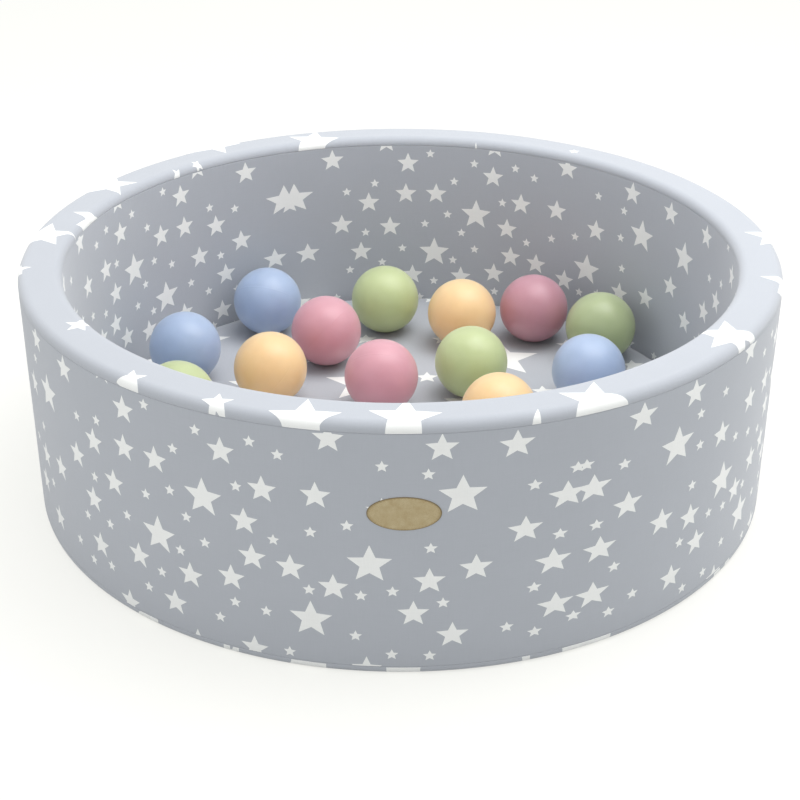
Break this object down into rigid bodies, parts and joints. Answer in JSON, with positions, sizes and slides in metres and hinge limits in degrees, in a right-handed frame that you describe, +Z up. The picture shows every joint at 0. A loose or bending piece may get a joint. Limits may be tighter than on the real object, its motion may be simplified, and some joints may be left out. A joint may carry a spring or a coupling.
{
  "type": "ball pit",
  "caption": "Round soft play pit: a low foam ring in a sewn star-print cover with a bare oval patch, a padded floor mat and loose pastel plastic balls.",
  "frame": {"origin": "on the floor at the centre of the ring", "axes": "+X to the right, +Y to the back, +Z up; the oval patch is at -Y"},
  "size_m": [0.9, 0.9011, 0.295],
  "materials": {
    "ball_blue_left": "soft matt blown plastic, pale blue",
    "ball_blue_rear": "soft matt blown plastic, pale blue",
    "ball_blue_right": "soft matt blown plastic, pale blue",
    "ball_green_far_left": "soft matt blown plastic, pale green",
    "ball_green_far_right": "soft matt blown plastic, pale green",
    "ball_green_middle": "soft matt blown plastic, pale green",
    "ball_green_rear": "soft matt blown plastic, pale green",
    "ball_orange_front": "soft matt blown plastic, pale orange",
    "ball_orange_left": "soft matt blown plastic, pale orange",
    "ball_orange_rear": "soft matt blown plastic, pale orange",
    "ball_pink_left": "soft matt blown plastic, pink",
    "ball_pink_middle": "soft matt blown plastic, pink",
    "ball_pink_right": "soft matt blown plastic, pink",
    "cover_base_inner": "matt woven cotton, grey with white stars",
    "cover_base_outer": "matt woven cotton, grey with white stars",
    "cover_inner": "matt woven cotton, grey with white stars",
    "cover_outer": "matt woven cotton, grey with white stars",
    "cover_rim": "matt woven cotton, pale grey with white stars",
    "mat_cover_base": "matt woven cotton, grey with white stars",
    "mat_cover_side": "matt woven cotton, grey with white stars",
    "mat_cover_top": "matt woven cotton, grey with white stars",
    "mat_foam": null,
    "mat_zip_bottom_stop": "nickel-plated zinc alloy",
    "mat_zip_chain_front": "woven zip tape with a nylon coil",
    "mat_zip_chain_rear": "woven zip tape with a nylon coil",
    "mat_zip_pull": "nickel-plated zinc alloy",
    "mat_zip_slider": "nickel-plated zinc alloy",
    "mat_zip_top_stop_front": "nickel-plated zinc alloy",
    "mat_zip_top_stop_rear": "nickel-plated zinc alloy",
    "oval_patch": "matt tan imitation leather, bare",
    "ring_zip_bottom_stop": "nickel-plated zinc alloy",
    "ring_zip_chain_inner": "woven zip tape with a nylon coil",
    "ring_zip_chain_outer": "woven zip tape with a nylon coil",
    "ring_zip_end_tab": "matt woven cotton, grey with white stars",
    "ring_zip_pull": "nickel-plated zinc alloy",
    "ring_zip_slider": "nickel-plated zinc alloy",
    "ring_zip_top_stop_inner": "nickel-plated zinc alloy",
    "ring_zip_top_stop_outer": "nickel-plated zinc alloy",
    "wall_foam_front": null,
    "wall_foam_rear": null
  },
  "bodies": {
    "ring": {"wall_foam_rear": "wall_foam_rear", "wall_foam_front": "wall_foam_front", "cover_outer": "cover_outer", "cover_inner": "cover_inner", "cover_rim": "cover_rim", "cover_base_outer": "cover_base_outer", "cover_base_inner": "cover_base_inner", "oval_patch": "oval_patch", "ring_zip_end_tab": "ring_zip_end_tab", "ring_zip_chain_outer": "ring_zip_chain_outer", "ring_zip_chain_inner": "ring_zip_chain_inner", "ring_zip_bottom_stop": "ring_zip_bottom_stop", "ring_zip_top_stop_outer": "ring_zip_top_stop_outer", "ring_zip_top_stop_inner": "ring_zip_top_stop_inner"},
    "ring_zip_slider": {"ring_zip_slider": "ring_zip_slider"},
    "ring_zip_pull": {"ring_zip_pull": "ring_zip_pull"},
    "mat": {"mat_foam": "mat_foam", "mat_cover_top": "mat_cover_top", "mat_cover_side": "mat_cover_side", "mat_cover_base": "mat_cover_base", "mat_zip_chain_front": "mat_zip_chain_front", "mat_zip_chain_rear": "mat_zip_chain_rear", "mat_zip_bottom_stop": "mat_zip_bottom_stop", "mat_zip_top_stop_front": "mat_zip_top_stop_front", "mat_zip_top_stop_rear": "mat_zip_top_stop_rear"},
    "mat_zip_slider": {"mat_zip_slider": "mat_zip_slider"},
    "mat_zip_pull": {"mat_zip_pull": "mat_zip_pull"},
    "ball_blue_left": {"ball_blue_left": "ball_blue_left"},
    "ball_blue_rear": {"ball_blue_rear": "ball_blue_rear"},
    "ball_blue_right": {"ball_blue_right": "ball_blue_right"},
    "ball_green_rear": {"ball_green_rear": "ball_green_rear"},
    "ball_green_far_right": {"ball_green_far_right": "ball_green_far_right"},
    "ball_green_middle": {"ball_green_middle": "ball_green_middle"},
    "ball_green_far_left": {"ball_green_far_left": "ball_green_far_left"},
    "ball_orange_left": {"ball_orange_left": "ball_orange_left"},
    "ball_orange_rear": {"ball_orange_rear": "ball_orange_rear"},
    "ball_orange_front": {"ball_orange_front": "ball_orange_front"},
    "ball_pink_left": {"ball_pink_left": "ball_pink_left"},
    "ball_pink_middle": {"ball_pink_middle": "ball_pink_middle"},
    "ball_pink_right": {"ball_pink_right": "ball_pink_right"}
  },
  "joints": [
    {"name": "mat_lift", "type": "slide", "parent": "ring", "child": "mat", "axis": [0, 0, 1], "range_m": [0, 0.32]},
    {"name": "ring_zip_run", "type": "hinge", "parent": "ring", "child": "ring_zip_slider", "pos_m": [0, 0, 0], "axis": [0, 0, 1], "range_deg": [0, 317.5], "deforming": ["ring_zip_chain_outer", "ring_zip_chain_inner"]},
    {"name": "ring_zip_pull_swing", "type": "hinge", "parent": "ring_zip_slider", "child": "ring_zip_pull", "pos_m": [-0.14813, 0.39719, 0.0026], "axis": [0.3495, -0.937, 0], "range_deg": [0, 180]},
    {"name": "mat_zip_run", "type": "slide", "parent": "mat", "child": "mat_zip_slider", "axis": [-1, 0, 0], "range_m": [0, 0.667], "deforming": ["mat_zip_chain_front", "mat_zip_chain_rear"]},
    {"name": "mat_zip_pull_swing", "type": "hinge", "parent": "mat_zip_slider", "child": "mat_zip_pull", "pos_m": [0.3392, 0, 0.0026], "axis": [0, -1, 0], "range_deg": [0, 180]},
    {"name": "lift_blue_left", "type": "slide", "parent": "mat", "child": "ball_blue_left", "axis": [0, 0, 1], "range_m": [0, 0.3]},
    {"name": "lift_blue_rear", "type": "slide", "parent": "mat", "child": "ball_blue_rear", "axis": [0, 0, 1], "range_m": [0, 0.3]},
    {"name": "lift_blue_right", "type": "slide", "parent": "mat", "child": "ball_blue_right", "axis": [0, 0, 1], "range_m": [0, 0.3]},
    {"name": "lift_green_rear", "type": "slide", "parent": "mat", "child": "ball_green_rear", "axis": [0, 0, 1], "range_m": [0, 0.3]},
    {"name": "lift_green_far_right", "type": "slide", "parent": "mat", "child": "ball_green_far_right", "axis": [0, 0, 1], "range_m": [0, 0.3]},
    {"name": "lift_green_middle", "type": "slide", "parent": "mat", "child": "ball_green_middle", "axis": [0, 0, 1], "range_m": [0, 0.3]},
    {"name": "lift_green_far_left", "type": "slide", "parent": "mat", "child": "ball_green_far_left", "axis": [0, 0, 1], "range_m": [0, 0.3]},
    {"name": "lift_orange_left", "type": "slide", "parent": "mat", "child": "ball_orange_left", "axis": [0, 0, 1], "range_m": [0, 0.3]},
    {"name": "lift_orange_rear", "type": "slide", "parent": "mat", "child": "ball_orange_rear", "axis": [0, 0, 1], "range_m": [0, 0.3]},
    {"name": "lift_orange_front", "type": "slide", "parent": "mat", "child": "ball_orange_front", "axis": [0, 0, 1], "range_m": [0, 0.3]},
    {"name": "lift_pink_left", "type": "slide", "parent": "mat", "child": "ball_pink_left", "axis": [0, 0, 1], "range_m": [0, 0.3]},
    {"name": "lift_pink_middle", "type": "slide", "parent": "mat", "child": "ball_pink_middle", "axis": [0, 0, 1], "range_m": [0, 0.3]},
    {"name": "lift_pink_right", "type": "slide", "parent": "mat", "child": "ball_pink_right", "axis": [0, 0, 1], "range_m": [0, 0.3]}
  ]
}
